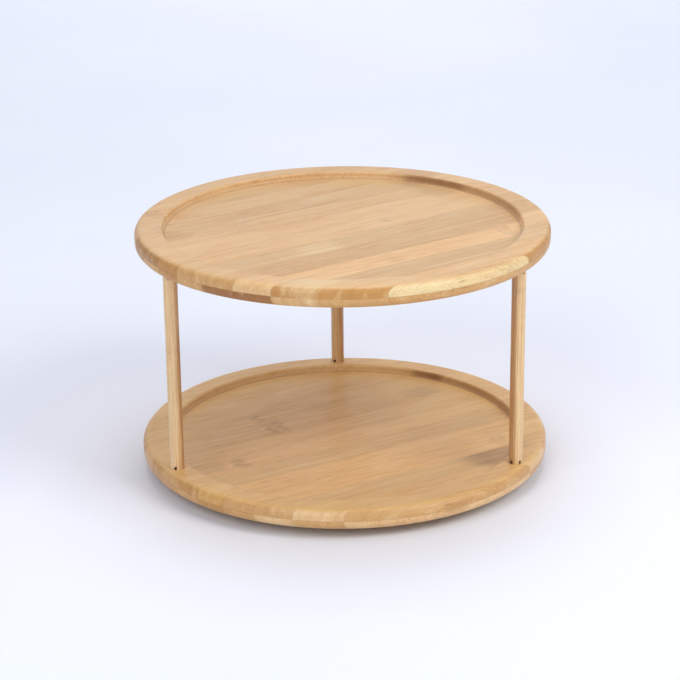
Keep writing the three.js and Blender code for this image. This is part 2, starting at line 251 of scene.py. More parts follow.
def lathe(name, points, sides, ring=False, shape=None):
    """Turns an anticlockwise profile about Z. shape(radius, height, angle) may give another radius."""
    vertices = []
    rows = []
    for r, z in points:
        if r < ON_AXIS:
            rows.append([len(vertices)] * sides)
            vertices.append((0, 0, z))
            continue
        rows.append(list(range(len(vertices), len(vertices) + sides)))
        for side in range(sides):
            angle = 2 * math.pi * side / sides
            radius = shape(r, z, angle) if shape else r
            vertices.append((radius * math.cos(angle), radius * math.sin(angle), z))
    pairs = list(zip(rows, rows[1:]))
    if ring:
        pairs.append((rows[-1], rows[0]))
    faces = []
    for one, other in pairs:
        for side in range(sides):
            turn = (side + 1) % sides
            face = list(dict.fromkeys((one[side], one[turn], other[turn], other[side])))
            if len(face) > 2:
                faces.append(face)
    return piece_from(name, vertices, faces)


def rod(radius, start, end, sides):
    return lathe("cutter", [(0, start), (radius, start), (radius, end), (0, end)], sides)


def moved(piece, matrix):
    """The piece with its mesh moved by a matrix whose shift is in millimetres."""
    metres = matrix.copy()
    metres.translation *= MM
    piece.data.transform(metres)
    return piece


def shifted(piece, spot):
    return moved(piece, Matrix.Translation(spot))


def joined(pieces):
    """Pieces that don't touch, as one."""
    vertices = []
    faces = []
    for piece in pieces:
        start = len(vertices)
        vertices += [v.co / MM for v in piece.data.vertices]
        faces += [[start + i for i in p.vertices] for p in piece.data.polygons]
        bpy.data.objects.remove(piece)
    return piece_from("cutter", vertices, faces)


def carve(piece, *cutters):
    """Takes each cutter away from the piece."""
    for cutter in cutters:
        difference = piece.modifiers.new("carve", "BOOLEAN")
        difference.operation = "DIFFERENCE"
        difference.solver = "EXACT"
        difference.object = cutter
    bpy.context.view_layer.update()
    graph = bpy.context.evaluated_depsgraph_get()
    carved = bpy.data.meshes.new_from_object(piece.evaluated_get(graph))
    piece.modifiers.clear()
    piece.data = carved
    for cutter in cutters:
        bpy.data.objects.remove(cutter)
    return piece


def smooth(piece):
    piece.data.shade_smooth()
    piece.data.set_sharp_from_angle(angle=SMOOTH_ANGLE)


def place(piece, body, node, material):
    """Finishes a piece: its shading, its material, and the CAD node and body that it belongs to."""
    smooth(piece)
    piece.data.materials.clear()
    piece.data.materials.append(material)
    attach(piece, body)
    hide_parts(node)


# ---------------------------------------------------------------- material helpers


def paint(red, green, blue):
    """A colour given as screen values from 0 to 255."""
    colour = Color((red / 255, green / 255, blue / 255)).from_srgb_to_scene_linear()
    return (*colour, 1.0)


class Look:
    """A material, with short calls for its nodes. Any input may be a number or a socket."""

    def __init__(self, name, **constants):
        self.material = bpy.data.materials.new(name)
        self.material.use_nodes = True
        self.tree = self.material.node_tree
        self.shader = self.tree.nodes["Principled BSDF"]
        for socket, value in constants.items():
            self.shader.inputs[socket.replace("_", " ")].default_value = value

    def node(self, kind, **settings):
        made = self.tree.nodes.new("ShaderNode" + kind)
        for setting, value in settings.items():
            setattr(made, setting, value)
        return made

    def feed(self, socket, value):
        if isinstance(value, bpy.types.NodeSocket):
            self.tree.links.new(value, socket)
        else:
            socket.default_value = value

    def set(self, socket, value):
        self.feed(self.shader.inputs[socket], value)

    def maths(self, operation, *values):
        made = self.node("Math", operation=operation)
        for socket, value in zip(made.inputs, values):
            self.feed(socket, value)
        return made.outputs[0]

    def add(self, *values):
        total = values[0]
        for value in values[1:]:
            total = self.maths("ADD", total, value)
        return total

    def times(self, *values):
        product = values[0]
        for value in values[1:]:
            product = self.maths("MULTIPLY", product, value)
        return product

    def level(self, value, start, end, low_end=0.0, high_end=1.0):
        """Maps start..end to low_end..high_end with soft ends, clamped."""
        made = self.node("MapRange", interpolation_type="SMOOTHSTEP")
        for socket, number in zip(made.inputs, (value, start, end, low_end, high_end)):
            self.feed(socket, number)
        return made.outputs[0]

    def vector(self, x, y, z):
        made = self.node("CombineXYZ")
        for socket, value in zip(made.inputs, (x, y, z)):
            self.feed(socket, value)
        return made.outputs[0]

    def split(self, vector):
        made = self.node("SeparateXYZ")
        self.feed(made.inputs[0], vector)
        return made.outputs

    def coordinates(self, turn=0.0, centre=(0, 0, 0)):
        """The piece's own coordinates in millimetres, from a centre, turned about Z."""
        made = self.node("Mapping", vector_type="TEXTURE")
        made.inputs["Location"].default_value = Vector(centre) * MM
        made.inputs["Rotation"].default_value = (0, 0, math.radians(turn))
        made.inputs["Scale"].default_value = (MM, MM, MM)
        self.feed(made.inputs["Vector"], self.node("TexCoord").outputs["Object"])
        return made.outputs[0]

    def noise(self, vector, scale=1.0, detail=2.0, roughness=0.5, distortion=0.0):
        made = self.node("TexNoise")
        self.feed(made.inputs["Vector"], vector)
        made.inputs["Scale"].default_value = scale
        made.inputs["Detail"].default_value = detail
        made.inputs["Roughness"].default_value = roughness
        made.inputs["Distortion"].default_value = distortion
        return made.outputs[0]

    def chance(self, value):
        """A number from 0 to 1 that is fixed for each whole number."""
        made = self.node("TexWhiteNoise", noise_dimensions="1D")
        self.feed(made.inputs["W"], value)
        return made.outputs[0]

    def mix(self, factor, one, other, blend="MIX"):
        made = self.node("Mix", data_type="RGBA", blend_type=blend)
        self.feed(made.inputs[0], factor)
        self.feed(made.inputs[6], one)
        self.feed(made.inputs[7], other)
        return made.outputs[2]

    def steps(self, factor, colours):
        """Equal bands of colour from 0 to 1."""
        made = self.node("ValToRGB")
        ramp = made.color_ramp
        ramp.interpolation = "CONSTANT"
        while len(ramp.elements) < len(colours):
            ramp.elements.new(1.0)
        for i, colour in enumerate(colours):
            ramp.elements[i].position = i / len(colours)
            ramp.elements[i].color = colour
        self.feed(made.inputs[0], factor)
        return made.outputs[0]

    def bump(self, height, depth):
        """Feeds the shader's normal. depth is the height in millimetres that 1 stands for."""
        made = self.node("Bump")
        made.inputs["Distance"].default_value = depth * MM
        self.feed(made.inputs["Height"], height)
        self.set("Normal", made.outputs[0])


# ---------------------------------------------------------------- bamboo

FIBRE_BROWN = paint(174, 124, 70)
FIBRE_PALE = paint(243, 216, 168)
# The brown of the cane's joints, also used for stains and for painted shade and shadow.
NODE_AND_SHADE_BROWN = paint(142, 97, 58)
GLUE_BROWN = paint(150, 102, 58)
BLUSH = paint(242, 218, 194)

CREAM = paint(240, 214, 160)
LIGHT = paint(234, 194, 140)
TAN = paint(215, 168, 108)
GOLD = paint(219, 170, 98)
AMBER = paint(201, 149, 84)
OCHRE = paint(184, 132, 72)
BROWN = paint(164, 112, 66)

# How far the rim's strips are evened out towards one tone, and that tone.
RIM_EVENING = 0.5
RIM_TONE = 3
# How much of the cut edge's colours the recess wall and the flat underside show.
WALL_EDGE_SHARE = 0.1
UNDERSIDE_EDGE_SHARE = 0.25
# How far the recess wall goes towards a light strip's colour.
WALL_LIGHTENING = 0.5
# What one screen step adds to a pale wood colour, as a share of its linear value.
SCREEN_STEP = 1 / 85
# Millimetres between the cane's joints in a strip and in a dowel.
STRIP_JOINT_SPACING = 235
DOWEL_JOINT_SPACING = 142
# Seeds of the strips' fixed chances, the step from one layer to the other, and how far apart the strips'
# noises lie.
LUCK_SEED = 7.0
JOINT_SEED = 307.0
LAYER_SEED_STEP = 40.0
NOISE_SPREAD = 90.0

# A board: the direction and width of its strips, where one seam lies, its coat, the tone of each strip
# on its faces, the colour of each strip where its edge is cut across, and the same in the lower layer.
# Marks are stains, except those noted as painted shade: each gives its middle along and across the
# strips, its half sizes, and its strength, below 0 if it is pale.
UPPER_BOARD = {
    "turn": 35,
    "strip": 24.3,
    "seam": 8.3,
    "shine": 0.1,
    "face": paint(228, 188, 137),
    "tones": (0, 4, -9, 11, -8, -8, 2, 3, -3, -8, -6, -9, -8, -9),
    "edge": (CREAM, AMBER, AMBER, LIGHT, TAN, TAN, AMBER, OCHRE, OCHRE, TAN, GOLD, TAN, AMBER, TAN),
    "under": (TAN, TAN, TAN, BROWN, BROWN, TAN, AMBER, TAN, AMBER, TAN, GOLD, TAN, TAN, AMBER),
    "marks": (
        (36, -4, 3, 4, 0.25),
        (-12, -76, 7, 12, 0.14),
        (-38, -28, 16, 10, -0.35),
        (-92, -101, 18, 11, -0.5),
        (-108, 58, 12, 12, 0.2),
        (112, 46, 12, 26, 0.25),
    ),
    # The first wall mark is a stain; the second is painted shade along the wall on the right.
    "wall_stains_and_shade": ((122, 48, 14, 28, 0.6), (128, 10, 20, 70, 0.35)),
}
LOWER_BOARD = {
    "turn": 31,
    "strip": 22,
    "seam": 4,
    "shine": 0.28,
    "face": paint(232, 191, 127),
    "tones": (-3, 0, -6, 6, 5, -7, 1, -3, -7, -8, -7, -4, -5, -4),
    "edge": (TAN, LIGHT, TAN, TAN, GOLD, AMBER, TAN, AMBER, TAN, AMBER, TAN, GOLD, TAN, TAN),
    "under": (LIGHT, TAN, LIGHT, TAN, AMBER, TAN, TAN, AMBER, TAN, GOLD, TAN, TAN, AMBER, TAN),
    "marks": (
        (-40, 60, 3, 8, 0.4),
        (-42, 38, 2.4, 11, 0.55),
        (-33, 40, 2.4, 11, 0.5),
        (-92, -6, 5, 8, 0.4),
        (-116, -2, 12, 9, 0.25),
        # Painted shadow at the foot of the right post, over a darker strip.
        (72, -94, 22, 11, 0.6),
        (96, 40, 14, 9, 0.3),
    ),
    # The second wall mark is painted shade along the wall on the right.
    "wall_stains_and_shade": ((120, 66, 12, 16, 0.75), (128, 6, 22, 70, 0.4)),
}


def toned(colour, amount):
    """The colour, lighter or darker by an amount in screen steps."""
    share = 1 + amount * SCREEN_STEP
    return (*(part * share for part in colour[:3]), 1.0)


class BoardLook(Look):
    """A laminated board's material, with the fields that its colours are worked out from."""

    def __init__(self, name, board, underside):
        coat = {"Coat_Weight": board["shine"], "Coat_Roughness": 0.28, "Coat_IOR": 1.5}
        super().__init__(name, Specular_IOR_Level=0.3, **coat)
        self.board = board
        self.along, self.across, height = self.split(self.coordinates(board["turn"]))
        self.height = self.add(height, -underside)
        self.upper_layer = self.maths("GREATER_THAN", self.height, LAYER_HEIGHT)
        squares = self.add(self.times(self.along, self.along), self.times(self.across, self.across))
        self.radius = self.maths("SQRT", squares)
        facing = self.maths("ABSOLUTE", self.split(self.node("TexCoord").outputs["Normal"])[2])
        # Steep faces are the outer edge and, where inner_wall is 1, the recess wall.
        self.edge = self.level(facing, 0.97, 0.6)
        self.inner_wall = self.level(self.radius, RECESS_RADIUS + 6, RECESS_RADIUS + RECESS_LIP_ROUND)

        self.strips = self.maths("DIVIDE", self.add(self.across, -board["seam"]), board["strip"])
        self.index = self.maths("FLOOR", self.strips)
        self.luck = self.strip_chance(LUCK_SEED)
        # Each noise: how fast it changes along, across and up through a strip, per millimetre.
        self.clouds = self.drawn_out(0.013, 0.03, 0.0, detail=2, roughness=0.5)
        self.streaks = self.drawn_out(0.012, 0.3, 0.1, detail=3, roughness=0.6)
        self.fibres = self.drawn_out(0.02, 1.5, 0.5, detail=3, roughness=0.65)
        self.dashes = self.drawn_out(0.07, 3.2, 1.2, detail=2, roughness=0.5)
        # Coordinates that waver by some millimetres, for the ragged ends of stains.
        waver = self.times(self.add(self.dashes, self.streaks, -1.0), 16.0)
        self.ragged_along = self.add(self.along, waver)
        self.ragged_across = self.add(self.across, self.times(self.add(self.clouds, -0.5), 3.0))

    def strip_chance(self, seed):
        """A number from 0 to 1 for each strip of each layer."""
        layer_step = self.times(self.upper_layer, LAYER_SEED_STEP)
        return self.chance(self.add(self.index, layer_step, seed))

    def drawn_out(self, lengthwise, crosswise, upwards, **settings):
        """A noise stretched along the strips, and different in each of them."""
        shift = self.times(self.luck, NOISE_SPREAD)
        stretched = self.vector(
            self.times(self.along, lengthwise),
            self.times(self.across, crosswise),
            self.add(self.times(self.height, upwards), shift),
        )
        return self.noise(stretched, **settings)

    def strip_colours(self):
        """The plain colour of each strip, on the faces and where its edge is cut across."""
        board = self.board
        band = self.maths("DIVIDE", self.add(self.index, STRIP_COUNT / 2 + 0.5), STRIP_COUNT)
        tones = [toned(board["face"], amount) for amount in board["tones"]]
        evened = self.times(self.level(self.radius, RECESS_RADIUS, RECESS_RADIUS + 3), RIM_EVENING)
        top = self.mix(evened, self.steps(band, tones), toned(board["face"], RIM_TONE))
        on_wall = self.times(self.inner_wall, WALL_EDGE_SHARE - 1)
        edge_share = self.times(self.edge, self.add(1.0, on_wall))
        top = self.mix(edge_share, top, self.steps(band, board["edge"]))
        top = self.mix(self.times(self.edge, self.inner_wall, WALL_LIGHTENING), top, LIGHT)
        under_share = self.add(UNDERSIDE_EDGE_SHARE, self.times(self.edge, 1 - UNDERSIDE_EDGE_SHARE))
        bottom = self.mix(under_share, self.steps(band, tones[::-1]), self.steps(band, board["under"]))
        return self.mix(self.upper_layer, bottom, top)

    def with_fibres(self, colour):
        """Pale and brown streaks, fine fibres, short dashes and warmer clouds."""
        gathered = self.level(self.clouds, 0.38, 0.6, 0.15, 0.5)
        # Each layer: its field, the levels between which it appears, its strength and its colour.
        layers = (
            (self.streaks, 0.5, 0.72, 0.3, FIBRE_PALE),
            (self.streaks, 0.5, 0.3, 0.16, FIBRE_BROWN),
            (self.fibres, 0.47, 0.68, 0.24, FIBRE_BROWN),
            (self.dashes, 0.55, 0.7, gathered, NODE_AND_SHADE_BROWN),
        )
        for field, start, end, strength, tint in layers:
            colour = self.mix(self.times(self.level(field, start, end), strength), colour, tint)
        warm = self.times(self.level(self.clouds, 0.4, 0.65), 0.3)
        return self.mix(warm, colour, BLUSH, "MULTIPLY")

    def seams(self):
        """The glue lines between the strips of a layer."""
        from_middle = self.maths("ABSOLUTE", self.add(self.maths("FRACT", self.strips), -0.5))
        distance = self.times(self.maths("SUBTRACT", 0.5, from_middle), self.board["strip"])
        return self.times(self.level(distance, 0.55, 0.1), self.level(self.clouds, 0.35, 0.6, 0.03, 0.25))

    def layer_joint(self):
        """The glue line between the two layers, where the edge shows it."""
        distance = self.maths("ABSOLUTE", self.add(self.height, -LAYER_HEIGHT))
        return self.times(self.level(distance, 0.5, 0.1), self.level(self.clouds, 0.4, 0.6, 0.05, 0.4))

    def cane_joints(self):
        """Soft bands where the cane's joints cross a strip. Each strip has its own places."""
        bulge = self.times(self.maths("SINE", self.times(self.maths("FRACT", self.strips), math.pi)), 3.0)
        start = self.times(self.strip_chance(JOINT_SEED), STRIP_JOINT_SPACING)
        nearest = self.maths("PINGPONG", self.add(self.along, start, bulge), STRIP_JOINT_SPACING / 2)
        wide = self.level(nearest, 8.0, 2.0)
        ridge = self.level(self.maths("ABSOLUTE", self.add(nearest, -4.0)), 1.6, 0.2)
        shape = self.add(self.times(wide, 0.5), self.times(ridge, 0.5))
        faint = self.level(self.luck, 0.4, 1.0, 0.05, 0.3)
        return self.times(shape, faint, self.level(self.fibres, 0.3, 0.6, 0.3, 1.0))

    def patch_cover(self, mark):
        """How much of a ragged patch covers each point."""
        u, v, half_u, half_v, strength = mark
        outside_u = self.maths("DIVIDE", self.maths("ABSOLUTE", self.add(self.ragged_along, -u)), half_u)
        outside_v = self.maths("DIVIDE", self.maths("ABSOLUTE", self.add(self.ragged_across, -v)), half_v)
        covered = self.times(self.level(outside_u, 1.6, 0.3), self.level(outside_v, 1.2, 0.7))
        return self.times(covered, abs(strength))

    def with_stains_and_shade(self, colour):
        """The faces' stains and a painted shadow, the painted shade and gathered finish in the recess
        corner, and the recess wall's stains and painted shade.
        """
        grain = self.add(self.times(self.fibres, 0.5), self.times(self.streaks, 0.5))
        patchy = self.level(grain, 0.35, 0.6, 0.5, 1.0)
        # Stains on the faces, and on the lower board a painted shadow beside the right post.
        for mark in self.board["marks"]:
            cover = self.times(self.patch_cover(mark), patchy)
            colour = self.mix(cover, colour, NODE_AND_SHADE_BROWN if mark[-1] > 0 else FIBRE_PALE)
        # Painted shade in the recess corner, with some gathered finish.
        distance = self.maths("ABSOLUTE", self.add(self.radius, -CORNER_RADIUS))
        streaky = self.level(self.streaks, 0.3, 0.6, 0.15, 0.45)
        corner = self.times(self.level(distance, 1.2, 0.1), self.upper_layer, streaky)
        colour = self.mix(corner, colour, NODE_AND_SHADE_BROWN)
        # Stains on the recess wall, and painted shade along its right side.
        for mark in self.board["wall_stains_and_shade"]:
            cover = self.times(self.patch_cover(mark), self.edge, self.inner_wall)
            colour = self.mix(cover, colour, NODE_AND_SHADE_BROWN)
        return colour


def board_material(name, board, underside):
    look = BoardLook(name, board, underside)
    colour = look.with_fibres(look.strip_colours())
    seams = look.seams()
    colour = look.mix(look.maths("MAXIMUM", seams, look.layer_joint()), colour, GLUE_BROWN)
    colour = look.mix(look.cane_joints(), colour, NODE_AND_SHADE_BROWN)
    look.set("Base Color", look.with_stains_and_shade(colour))

    worn = look.noise(look.coordinates(), scale=0.05, detail=4, roughness=0.6)
    satin = look.level(look.fibres, 0.3, 0.7, 0.36, 0.46)
    look.set("Roughness", look.add(satin, look.level(worn, 0.35, 0.65, -0.05, 0.06)))
    grain = look.add(look.times(look.fibres, 0.6), look.times(look.streaks, 0.4))
    look.bump(look.add(grain, look.times(seams, -0.6)), 0.06)
    return look.material


def dowel_material(name, centre, painted_shade_flank):
    """Straight-grained bamboo, with one flank darker: painted shade on the side of the post that lies in
    shade.
    """
    look = Look(name, Coat_Roughness=0.25, Coat_Weight=0.3, Coat_IOR=1.5)
    x, y, z = look.split(look.coordinates(painted_shade_flank, centre))

    def drawn_up(crosswise, lengthwise, **settings):
        """A noise stretched along the dowel."""
        section = (look.times(x, crosswise), look.times(y, crosswise))
        return look.noise(look.vector(*section, look.times(z, lengthwise)), **settings)

    bundles = drawn_up(1.1, 0.02, detail=3, roughness=0.6)
    fibres = drawn_up(3.0, 0.05, detail=2, roughness=0.6)
    ticks = drawn_up(4.5, 0.16, detail=1, roughness=0.5)
    bend = look.times(look.add(bundles, -0.5), 3.0)
    # How far a point lies on the flank of painted shade; the second colour below is the shaded one.
    side = look.level(look.add(x, bend), 1.0, 4.0)
    colour = look.mix(side, paint(234, 196, 142), paint(190, 138, 84))
    # Each layer: its field, the levels between which it appears, its strength and its colour.
    layers = (
        (bundles, 0.45, 0.7, 0.3, FIBRE_BROWN),
        (fibres, 0.5, 0.7, 0.35, FIBRE_BROWN),
        (ticks, 0.62, 0.74, 0.5, NODE_AND_SHADE_BROWN),
        (bundles, 0.5, 0.3, 0.35, FIBRE_PALE),
    )
    for field, start, end, strength, tint in layers:
        colour = look.mix(look.times(look.level(field, start, end), strength), colour, tint)
    # Each dowel's joints start at another height, set by where it stands.
    height = look.add(z, look.times(bundles, 14.0), float(centre[0]))
    ring = look.level(look.maths("PINGPONG", height, DOWEL_JOINT_SPACING / 2), 3.0, 0.3)
    colour = look.mix(look.times(ring, look.level(fibres, 0.42, 0.65, 0.0, 0.4)), colour, NODE_AND_SHADE_BROWN)
    look.set("Base Color", colour)
    look.set("Roughness", look.level(fibres, 0.3, 0.7, 0.4, 0.52))
    look.bump(look.add(look.times(fibres, 0.6), look.times(bundles, 0.4)), 0.07)
    return look.material


# ---------------------------------------------------------------- metal, nylon and rubber


def steel_material(name, light, dark, polish, grain_scale, depth):
    """Plated sheet or turned steel: mottled plating, fine scratches and a change of polish."""
    look = Look(name, Metallic=1.0)
    points = look.coordinates()
    mottle = look.noise(points, scale=0.09, detail=4, roughness=0.6)
    crystals = look.noise(points, scale=grain_scale, detail=3, roughness=0.7)
    x, y, z = look.split(points)
    scratches = look.noise(look.vector(look.times(x, 0.15), look.times(y, 2.5), z), detail=2)
    tint = look.add(look.times(mottle, 0.7), look.times(crystals, 0.3))
    look.set("Base Color", look.mix(look.level(tint, 0.35, 0.65), dark, light))
    rough = look.add(look.level(crystals, 0.3, 0.7, polish, polish + 0.12), look.times(scratches, 0.1))
    look.set("Roughness", rough)
    look.bump(look.add(look.times(crystals, 0.7), look.times(scratches, 0.3)), depth)
    return look.material


def ball_material():
    """Bright ball steel with a rolled track and smears of grease."""
    look = Look("ball_steel", Metallic=1.0)
    track = look.node("Attribute", attribute_name="track").outputs["Fac"]
    smear = look.noise(look.coordinates(), scale=0.55, detail=3, roughness=0.6, distortion=0.4)
    grease = look.level(smear, 0.5, 0.66)
    colour = look.mix(look.times(track, 0.4), paint(222, 224, 228), paint(192, 198, 208))
    look.set("Base Color", look.mix(look.times(grease, 0.5), colour, paint(178, 150, 104)))
    look.set("Roughness", look.add(look.times(track, 0.1), look.times(grease, 0.22), 0.07))
    return look.material


def nylon_material():
    look = Look("nylon", Subsurface_Weight=0.12, Subsurface_Scale=0.002, Coat_Weight=0.0)
    points = look.coordinates()
    haze = look.noise(points, scale=0.12, detail=3)
    pores = look.noise(points, scale=2.4, detail=2, roughness=0.6)
    colour = look.mix(look.level(haze, 0.35, 0.65), paint(222, 217, 203), paint(239, 236, 226))
    look.set("Base Color", colour)
    look.set("Roughness", look.level(pores, 0.35, 0.65, 0.4, 0.56))
    look.bump(pores, 0.02)
    return look.material


def rubber_material():
    look = Look("rubber")
    points = look.coordinates()
    dust = look.noise(points, scale=0.5, detail=4, roughness=0.65)
    pores = look.noise(points, scale=3.5, detail=2, roughness=0.6)
    colour = look.mix(look.level(pores, 0.35, 0.65), paint(30, 30, 32), paint(44, 43, 44))
    dusty = look.times(look.level(dust, 0.52, 0.75), 0.35)
    look.set("Base Color", look.mix(dusty, colour, paint(120, 114, 106)))
    look.set("Roughness", look.level(dust, 0.35, 0.7, 0.68, 0.88))
    look.bump(pores, 0.05)
    return look.material


# ---------------------------------------------------------------- boards


def board_outline(underside):
    floor = underside + TRAY_THICKNESS - RECESS_DEPTH
    top = underside + TRAY_THICKNESS
    return outline(
        [
            (0, underside),
            *((radius, underside) for radius in FLAT_RINGS),
            (TRAY_RADIUS, underside, TRAY_BOTTOM_ROUND),
            (TRAY_RADIUS, top, TRAY_TOP_ROUND),
            (RECESS_RADIUS, top, RECESS_LIP_ROUND),
            (RECESS_RADIUS, floor, RECESS_FOOT_ROUND),
            *((radius, floor) for radius in reversed(FLAT_RINGS)),
            (0, floor),
        ]
    )


def brad_matrix(centre, azimuth, end):
    """Moves a brad from the origin to its place. end is -1 at the lower board and 1 at the upper."""
    rim = POST_BOTTOM_Z + SOCKET_DEPTH if end < 0 else POST_TOP_Z - SOCKET_DEPTH
    head = on_circle(POST_RADIUS - BRAD_HEAD_SINK, azimuth, rim - end * BRAD_RISE)
    head += Vector((centre.x, centre.y, 0))
    along = on_circle(math.sin(math.radians(BRAD_TILT)), azimuth + 180 + BRAD_SKEW)
    along.z = end * math.cos(math.radians(BRAD_TILT))
    turn = Vector((0, 0, -1)).rotation_difference(along)
    return Matrix.Translation(head) @ turn.to_matrix().to_4x4()


def brad_channel(centre, azimuth, end):
    """A cutter in a brad's shape, with play all round and open above the head."""
    shank = BRAD_RADIUS + BRAD_PLAY
    head = BRAD_HEAD_RADIUS + BRAD_PLAY
    tip = -BRAD_LENGTH - BRAD_PLAY
    neck = -BRAD_HEAD_HEIGHT - 2 * BRAD_PLAY
    top = 2 * BRAD_HEAD_RADIUS - BRAD_PLAY
    points = [(0, tip), (shank, tip + 3 * shank), (shank, neck), (head, neck), (head, top), (0, top)]
    return moved(lathe("cutter", points, BRAD_CHANNEL_SIDES), brad_matrix(centre, azimuth, end))


def board(name, node, end, board_look, cutters=()):
    underside = low(node).z
    piece = lathe(name, board_outline(underside), TRAY_SIDES)
    sockets = list(cutters)
    channels = []
    for post_name, facts in POSTS.items():
        centre = middle(f"{post_name}_post")
        start = POST_BOTTOM_Z - SOCKET_PLAY
        socket = rod(POST_RADIUS + SOCKET_PLAY, start, POST_TOP_Z + SOCKET_PLAY, POST_SIDES)
        sockets.append(shifted(socket, (centre.x, centre.y, 0)))
        channels += [brad_channel(centre, azimuth, end) for azimuth in facts["brads"]]
    # The two channels at a post may touch, so they are in different cutters.
    carve(piece, joined(sockets), joined(channels[0::2]), joined(channels[1::2]))
    material = board_material(name, board_look, underside)
    place(piece, "turntable", node, material)


def screw_pilots():
    pilots = []
    for azimuth in even_azimuths(SCREW_COUNT):
        end = UPPER_PAD_Z + SCREW_LENGTH + SCREW_PLAY
        pilot = rod(SCREW_SHANK_RADIUS + SCREW_PLAY, 0, end, PILOT_SIDES)
        pilots.append(shifted(pilot, on_circle(SCREW_CIRCLE_RADIUS, azimuth)))
    return pilots


# ---------------------------------------------------------------- posts and brads


def post_outline():
    points = [
        (0, POST_BOTTOM_Z),
        (POST_RADIUS - POST_CHAMFER, POST_BOTTOM_Z),
        (POST_RADIUS, POST_BOTTOM_Z + POST_CHAMFER),
    ]
    step = (POST_TOP_Z - POST_BOTTOM_Z) / POST_RINGS
    points += [(POST_RADIUS, POST_BOTTOM_Z + step * ring) for ring in range(1, POST_RINGS)]
    points += [
        (POST_RADIUS, POST_TOP_Z - POST_CHAMFER),
        (POST_RADIUS - POST_CHAMFER, POST_TOP_Z),
        (0, POST_TOP_Z),
    ]
    return points


def post(name, facts):
    node = f"{name}_post"
    centre = middle(node)
    piece = shifted(lathe(f"{name}_dowel", post_outline(), POST_SIDES), (centre.x, centre.y, 0))
    channels = [brad_channel(centre, azimuth, end) for end in (-1, 1) for azimuth in facts["brads"]]
    carve(piece, *channels)
    material = dowel_material(f"{name}_dowel", (centre.x, centre.y, 0), facts["painted_shade_flank"])
    place(piece, "turntable", node, material)


def brad(name, node, matrix, material):
    points = outline(
        [
            (0, -BRAD_LENGTH),
            (BRAD_RADIUS, -BRAD_LENGTH + 3 * BRAD_RADIUS),
            (BRAD_RADIUS, -BRAD_HEAD_HEIGHT),
            (BRAD_HEAD_RADIUS, -BRAD_HEAD_HEIGHT, 0.06),
            (BRAD_HEAD_RADIUS, 0, 0.15),
            (BRAD_DIMPLE_RADIUS, 0, 0.05),
            (BRAD_DIMPLE_FLOOR_RADIUS, -BRAD_DIMPLE_DEPTH),
            (0, -BRAD_DIMPLE_DEPTH),
        ]
    )
    piece = moved(lathe(name, points, BRAD_SIDES), matrix)
    place(piece, "turntable", node, material)


def brads(material):
    for post_name, facts in POSTS.items():
        centre = middle(f"{post_name}_post")
        for end_name, end in (("lower", -1), ("upper", 1)):
            for i, azimuth in enumerate(facts["brads"], 1):
                stem = f"{post_name}_{end_name}"
                matrix = brad_matrix(centre, azimuth, end)
                brad(f"{stem}_nail_{i}", f"{stem}_brad_{i}", matrix, material)


# ---------------------------------------------------------------- bearing


def groove(z, depth, side, spread, rounding):
    """The pressed ball groove across the race circle, read outwards (side 1) or inwards (-1)."""
    mouth = GROOVE_MOUTH_HALF + spread
    floor = GROOVE_FLOOR_HALF + spread
    return [
        (RACE_RADIUS - side * mouth, z, rounding),
        (RACE_RADIUS - side * floor, z + depth, rounding),
        (RACE_RADIUS + side * floor, z + depth, rounding),
        (RACE_RADIUS + side * mouth, z, rounding),
    ]


def lower_race(material):
    hole = EYELET_RADIUS + EYELET_PLAY
    top = LOWER_PLATE_Z + SHEET
    points = outline(
        [
            (hole, LOWER_PLATE_Z, 0.2),
            *groove(LOWER_PLATE_Z, -GROOVE_DEPTH, 1, SHEET / 2, 1.2),
            (LOWER_PLATE_RADIUS, LOWER_PLATE_Z, 1.5),
            (LOWER_PLATE_RADIUS, LOWER_LIP_Z, 0.3),
            (LOWER_PLATE_RADIUS - SHEET, LOWER_LIP_Z, 0.3),
            (LOWER_PLATE_RADIUS - SHEET, top, 0.5),
            *groove(top, -GROOVE_DEPTH, -1, 0, 0.8),
            (hole, top, 0.2),
        ]
    )
    piece = lathe("lower_race", points, PLATE_SIDES, ring=True)
    holes = []
    for azimuth in even_azimuths(FOOT_COUNT):
        hole_cutter = rod(FOOT_STEM_RADIUS + FOOT_STEM_PLAY, 0, LOWER_TRAY_Z, SMALL_SIDES)
        holes.append(shifted(hole_cutter, on_circle(FOOT_CIRCLE_RADIUS, azimuth)))
    access = rod(ACCESS_HOLE_RADIUS, 0, LOWER_TRAY_Z, SMALL_SIDES)
    holes.append(shifted(access, on_circle(SCREW_CIRCLE_RADIUS, ACCESS_HOLE_AZIMUTH)))
    carve(piece, joined(holes))
    place(piece, "base", "lower_race_plate", material)


